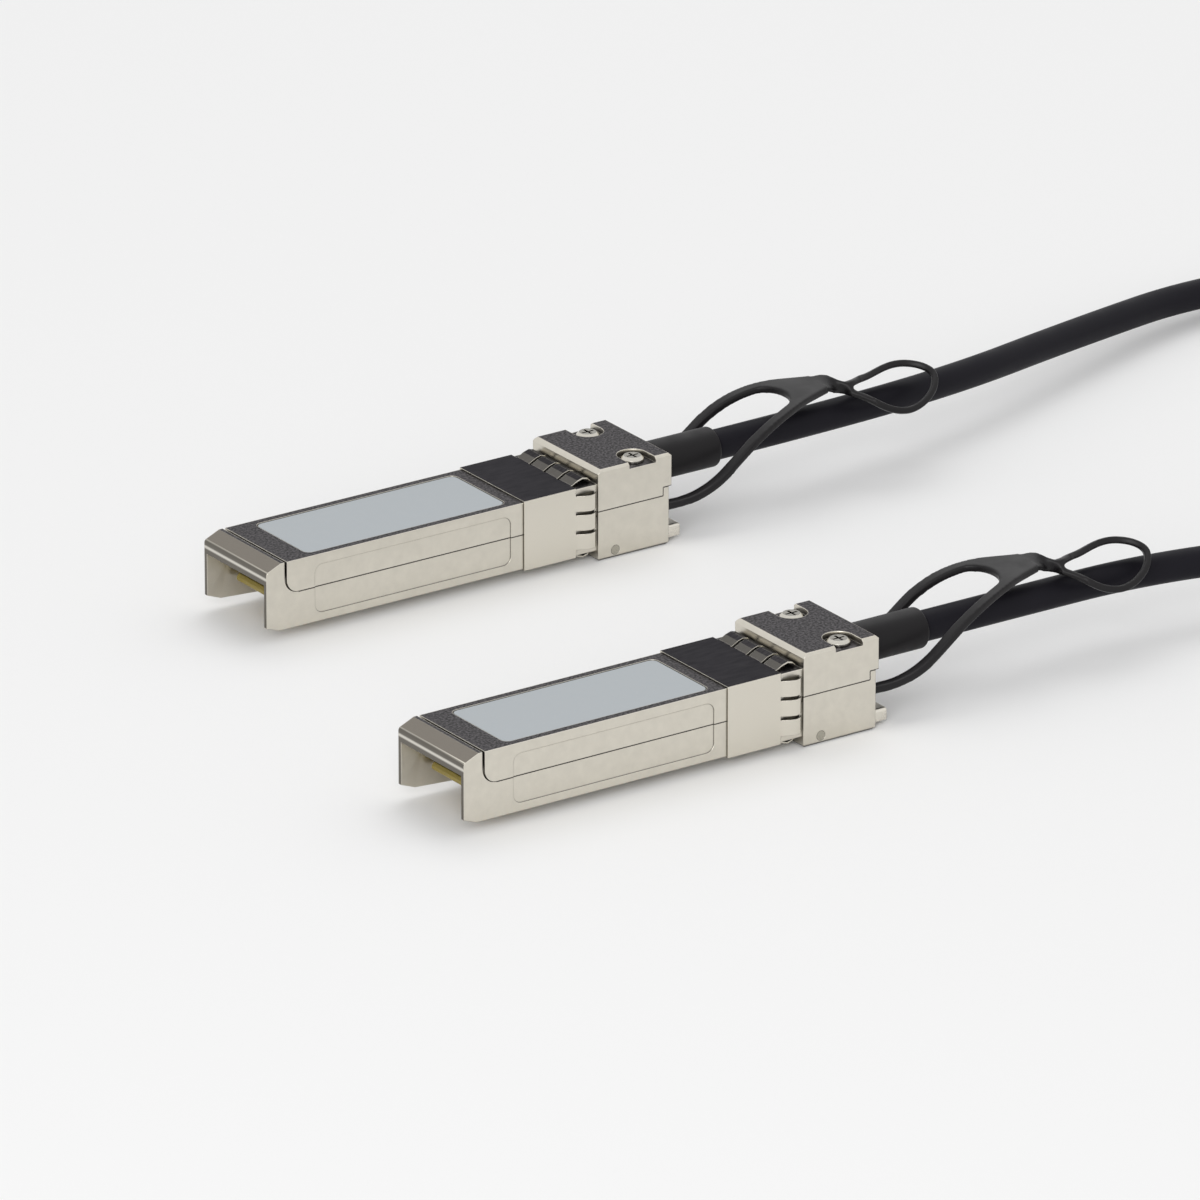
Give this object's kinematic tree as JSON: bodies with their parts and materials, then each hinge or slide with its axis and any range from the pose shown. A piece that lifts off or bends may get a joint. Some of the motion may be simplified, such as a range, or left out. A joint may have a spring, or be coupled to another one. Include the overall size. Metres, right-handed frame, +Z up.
{
  "type": "direct attach copper cable",
  "caption": "Passive twinax cable with a latching small form-factor plug on each end; each plug has a strap whose pull rocks its latch boss in.",
  "frame": {"origin": "under the middle of the two plugs with their straps, on the surface that their rear blocks stand on", "axes": "+X from the plugs' mating ends towards the cable, +Y from plug b to plug a, +Z up"},
  "size_m": [0.2277, 0.1025, 0.0135],
  "materials": {
    "die_cast_shell": "nickel-plated zinc die casting, satin",
    "foil_label": "silver-grey polyester foil, bare",
    "gasket_sheet": "nickel-plated spring sheet",
    "circuit_card": "glass-epoxy card, olive edge",
    "gold_contacts": "gold plating",
    "chip_epoxy": "moulded epoxy",
    "lead_jacket": "foil-wrapped twinax pair",
    "hot_melt": "low-pressure moulding",
    "ferrule_metal": "crimped ring",
    "boot_plastic": "moulded PVC, matt black",
    "screw_steel": "nickel-plated screw",
    "latch_metal": "die cast, nickel-plated",
    "pin_steel": "ground steel pin",
    "slider_metal": "die cast, nickel-plated",
    "spring_steel": "spring leaf",
    "strap_plastic": "moulded TPU, black",
    "cable_jacket": "PVC jacket, near black"
  },
  "bodies": {
    "cable_and_plugs": {"lower_shell_a": "die_cast_shell", "upper_shell_a": "die_cast_shell", "label_a": "foil_label", "emi_gasket_a": "gasket_sheet", "paddle_card_a": "circuit_card", "card_contacts_a": "gold_contacts", "memory_chip_a": "chip_epoxy", "twinax_leads_a": "lead_jacket", "lead_moulding_a": "hot_melt", "crimp_ferrule_a": "ferrule_metal", "cable_boot_a": "boot_plastic", "cover_screws_a": "screw_steel", "pivot_pin_a": "pin_steel", "return_spring_a": "spring_steel", "lower_shell_b": "die_cast_shell", "upper_shell_b": "die_cast_shell", "label_b": "foil_label", "emi_gasket_b": "gasket_sheet", "paddle_card_b": "circuit_card", "card_contacts_b": "gold_contacts", "memory_chip_b": "chip_epoxy", "twinax_leads_b": "lead_jacket", "lead_moulding_b": "hot_melt", "crimp_ferrule_b": "ferrule_metal", "cable_boot_b": "boot_plastic", "cover_screws_b": "screw_steel", "pivot_pin_b": "pin_steel", "return_spring_b": "spring_steel", "cable": "cable_jacket"},
    "release_a": {"pull_slider_a": "slider_metal", "pull_strap_a": "strap_plastic"},
    "latch_a": {"latch_lever_a": "latch_metal"},
    "release_b": {"pull_slider_b": "slider_metal", "pull_strap_b": "strap_plastic"},
    "latch_b": {"latch_lever_b": "latch_metal"}
  },
  "joints": [
    {"name": "pull_a", "type": "slide", "parent": "cable_and_plugs", "child": "release_a", "axis": [1, 0, 0], "range_m": [0, 0.002], "stiffness_N_per_m": 200, "deforming": ["return_spring_a"]},
    {"name": "latch_rock_a", "type": "hinge", "parent": "cable_and_plugs", "child": "latch_a", "pos_m": [0.0059, 0.031, 0.001], "axis": [0, 1, 0], "range_deg": [0, 6]},
    {"name": "pull_b", "type": "slide", "parent": "cable_and_plugs", "child": "release_b", "axis": [1, 0, 0], "range_m": [0, 0.002], "stiffness_N_per_m": 200, "deforming": ["return_spring_b"]},
    {"name": "latch_rock_b", "type": "hinge", "parent": "cable_and_plugs", "child": "latch_b", "pos_m": [-0.0078, -0.031, 0.001], "axis": [0, 1, 0], "range_deg": [0, 6]}
  ],
  "couplings": [
    {"joint": "latch_rock_a", "follows": "pull_a", "rad_per_m": 52},
    {"joint": "latch_rock_b", "follows": "pull_b", "rad_per_m": 52}
  ]
}
